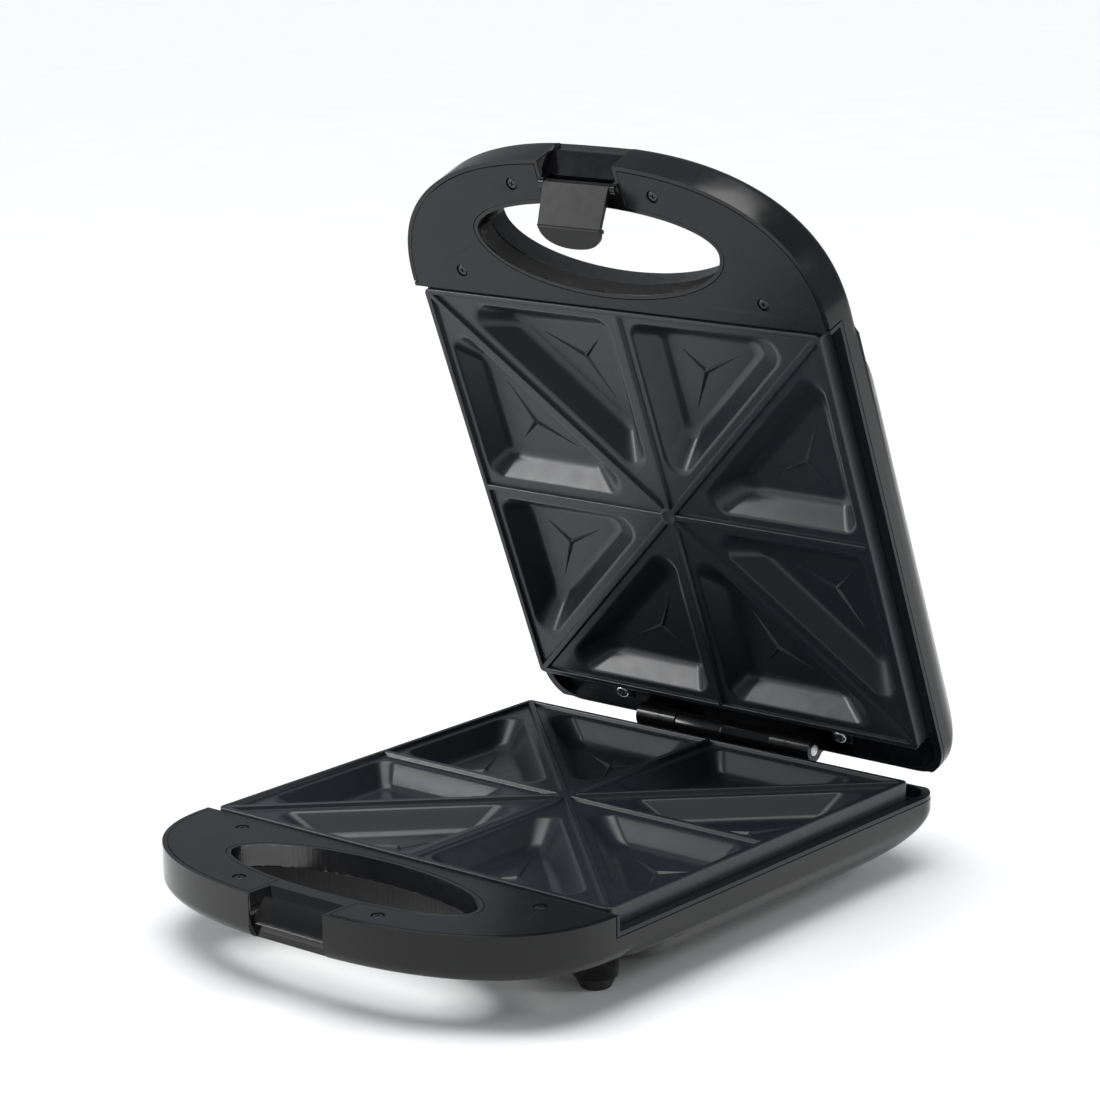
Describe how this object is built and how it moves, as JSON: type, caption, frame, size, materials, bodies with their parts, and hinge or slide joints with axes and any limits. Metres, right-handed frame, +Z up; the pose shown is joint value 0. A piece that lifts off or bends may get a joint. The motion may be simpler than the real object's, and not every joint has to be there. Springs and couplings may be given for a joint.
{
  "type": "sandwich toaster",
  "caption": "Black countertop sandwich toaster standing open, with hinged lid, ribbed triangular-pocket plates, loop handles with finger holes, pivoting latch and rubber feet.",
  "frame": {"origin": "on the table, at the middle of the open toaster's width and of its depth, from the handle's front edge to the raised lid's back", "axes": "+X to the toaster's right seen from its front, +Y from the handle towards the hinge, +Z up; the lid stands open 68 degrees from closed"},
  "size_m": [0.263, 0.368, 0.3735],
  "materials": {
    "casing": "smooth black plastic, semi-gloss",
    "cover": "fine-grained black plastic",
    "plate": "dark non-stick coating with a soft sheen on cast aluminium",
    "element": "dull steel tube",
    "ceramic": "off-white ceramic",
    "tray": "mill-finish sheet",
    "screw": "bright plated steel",
    "dark_screw": "blackened steel",
    "pin": "ground steel",
    "hinge": "smooth black",
    "latch": "smooth black plastic",
    "rubber": "matt black rubber",
    "wire": "heat-proof sleeve",
    "red_lens": "tinted clear plastic",
    "green_lens": "tinted clear plastic",
    "lamp": "clear glass"
  },
  "bodies": {
    "base": {"base_shell": "casing", "base_cover": "cover", "base_plate": "plate", "base_heating_element": "element", "base_element_terminals": "ceramic", "base_reflector": "tray", "base_plate_screws": "screw", "base_tray_screws": "screw", "base_cover_screws": "dark_screw", "thermostat": "ceramic", "thermal_fuse": "ceramic", "terminal_block": "ceramic", "base_wiring": "wire", "cord_bushing": "rubber", "front_left_foot": "rubber", "front_right_foot": "rubber", "rear_left_foot": "rubber", "rear_right_foot": "rubber"},
    "lid": {"lid_shell": "casing", "lid_cover": "cover", "lid_plate": "plate", "lid_heating_element": "element", "lid_element_terminals": "ceramic", "lid_reflector": "tray", "lid_plate_screws": "screw", "lid_tray_screws": "screw", "lid_cover_screws": "dark_screw", "lid_thermal_fuse": "ceramic", "lid_terminal_block": "ceramic", "lid_wiring": "wire", "power_lamp_lens": "red_lens", "ready_lamp_lens": "green_lens", "power_lamp": "lamp", "ready_lamp": "lamp", "hinge_pin_left": "pin", "hinge_pin_right": "pin", "hinge_tube": "hinge", "latch_pin": "pin"},
    "latch": {"latch": "latch"}
  },
  "joints": [
    {"name": "lid_hinge", "type": "hinge", "parent": "base", "child": "lid", "pos_m": [0, 0.1569, 0.05025], "axis": [1, 0, 0], "range_deg": [-27, 68]},
    {"name": "latch_pivot", "type": "hinge", "parent": "lid", "child": "latch", "pos_m": [0, 0.03517, 0.35515], "axis": [1, 0, 0], "range_deg": [-93.3, 37.1]}
  ],
  "couplings": [
    {"joint": "latch_pivot", "follows": "lid_hinge", "ratio": -1.3706}
  ]
}
